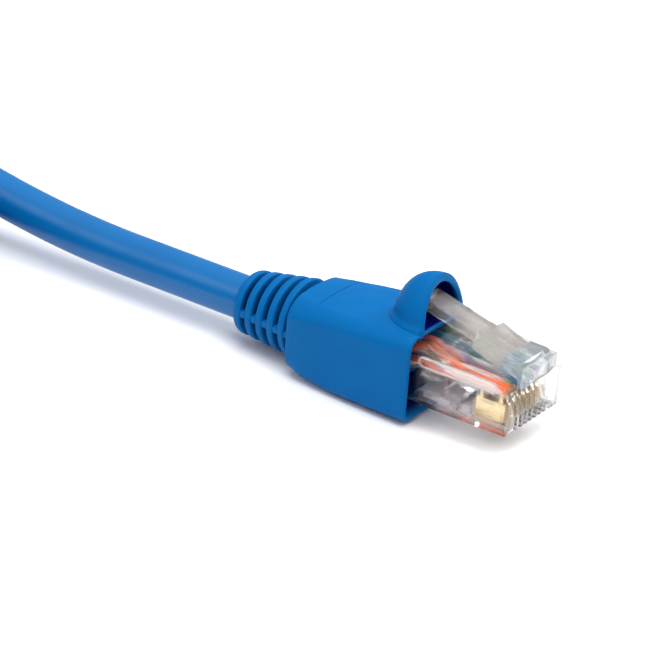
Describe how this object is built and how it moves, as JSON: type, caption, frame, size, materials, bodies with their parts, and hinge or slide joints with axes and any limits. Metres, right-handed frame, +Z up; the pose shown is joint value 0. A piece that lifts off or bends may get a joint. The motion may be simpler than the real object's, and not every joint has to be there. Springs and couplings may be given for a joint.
{
  "type": "network patch lead",
  "caption": "Flexible round network lead with a clear latching eight-contact plug and a slip-on moulded boot on each end.",
  "frame": {"origin": "middle of the near plug and boot on the surface it lies on", "axes": "+X from the boot's neck towards the plug's nose, +Z up on the latch side"},
  "size_m": [0.1384, 0.0834, 0.0169],
  "materials": {
    "clear_polycarbonate": "moulded clear polycarbonate, polished",
    "gold_plated_contact": "gold plated phosphor bronze",
    "bare_copper": "cut copper wire ends",
    "boot_pvc": "soft blue moulded PVC, satin",
    "cable_jacket": "extruded blue PVC jacket, satin",
    "insulation_white_orange": "extruded polyethylene insulation",
    "insulation_orange": "extruded polyethylene insulation",
    "insulation_white_green": "extruded polyethylene insulation",
    "insulation_blue": "extruded polyethylene insulation",
    "insulation_white_blue": "extruded polyethylene insulation",
    "insulation_green": "extruded polyethylene insulation",
    "insulation_white_brown": "extruded polyethylene insulation",
    "insulation_brown": "extruded polyethylene insulation"
  },
  "bodies": {
    "lead": {"near_plug_housing": "clear_polycarbonate", "near_load_bar": "clear_polycarbonate", "near_jacket_clamp_bar": "clear_polycarbonate", "near_wire_clamp_bar": "clear_polycarbonate", "near_contact_1": "gold_plated_contact", "near_wire_1": "insulation_white_orange", "near_contact_2": "gold_plated_contact", "near_wire_2": "insulation_orange", "near_contact_3": "gold_plated_contact", "near_wire_3": "insulation_white_green", "near_contact_4": "gold_plated_contact", "near_wire_4": "insulation_blue", "near_contact_5": "gold_plated_contact", "near_wire_5": "insulation_white_blue", "near_contact_6": "gold_plated_contact", "near_wire_6": "insulation_green", "near_contact_7": "gold_plated_contact", "near_wire_7": "insulation_white_brown", "near_contact_8": "gold_plated_contact", "near_wire_8": "insulation_brown", "near_wire_cores": "bare_copper", "near_jacket_end": "cable_jacket", "far_plug_housing": "clear_polycarbonate", "far_load_bar": "clear_polycarbonate", "far_jacket_clamp_bar": "clear_polycarbonate", "far_wire_clamp_bar": "clear_polycarbonate", "far_contact_1": "gold_plated_contact", "far_wire_1": "insulation_white_orange", "far_contact_2": "gold_plated_contact", "far_wire_2": "insulation_orange", "far_contact_3": "gold_plated_contact", "far_wire_3": "insulation_white_green", "far_contact_4": "gold_plated_contact", "far_wire_4": "insulation_blue", "far_contact_5": "gold_plated_contact", "far_wire_5": "insulation_white_blue", "far_contact_6": "gold_plated_contact", "far_wire_6": "insulation_green", "far_contact_7": "gold_plated_contact", "far_wire_7": "insulation_white_brown", "far_contact_8": "gold_plated_contact", "far_wire_8": "insulation_brown", "far_wire_cores": "bare_copper", "far_jacket_end": "cable_jacket", "cable_run": "cable_jacket", "cable_tail": "cable_jacket", "cable_coil": "cable_jacket"},
    "near_latch": {"near_latch_lever": "clear_polycarbonate"},
    "near_boot_body": {"near_boot": "boot_pvc"},
    "far_latch": {"far_latch_lever": "clear_polycarbonate"},
    "far_boot_body": {"far_boot": "boot_pvc"}
  },
  "joints": [
    {"name": "near_latch_press", "type": "hinge", "parent": "lead", "child": "near_latch", "pos_m": [0.01724, 0, 0.01015], "axis": [0, -1, 0], "range_deg": [0, 5], "stiffness_Nm_per_rad": 0.25},
    {"name": "near_boot_slide", "type": "slide", "parent": "lead", "child": "near_boot_body", "axis": [-1, 0, 0], "range_m": [0, 0.02]},
    {"name": "far_latch_press", "type": "hinge", "parent": "lead", "child": "far_latch", "pos_m": [-0.01356, -0.0696, 0.01015], "axis": [0, -1, 0], "range_deg": [0, 5], "stiffness_Nm_per_rad": 0.25},
    {"name": "far_boot_slide", "type": "slide", "parent": "lead", "child": "far_boot_body", "axis": [-1, 0, 0], "range_m": [0, 0.009]}
  ]
}
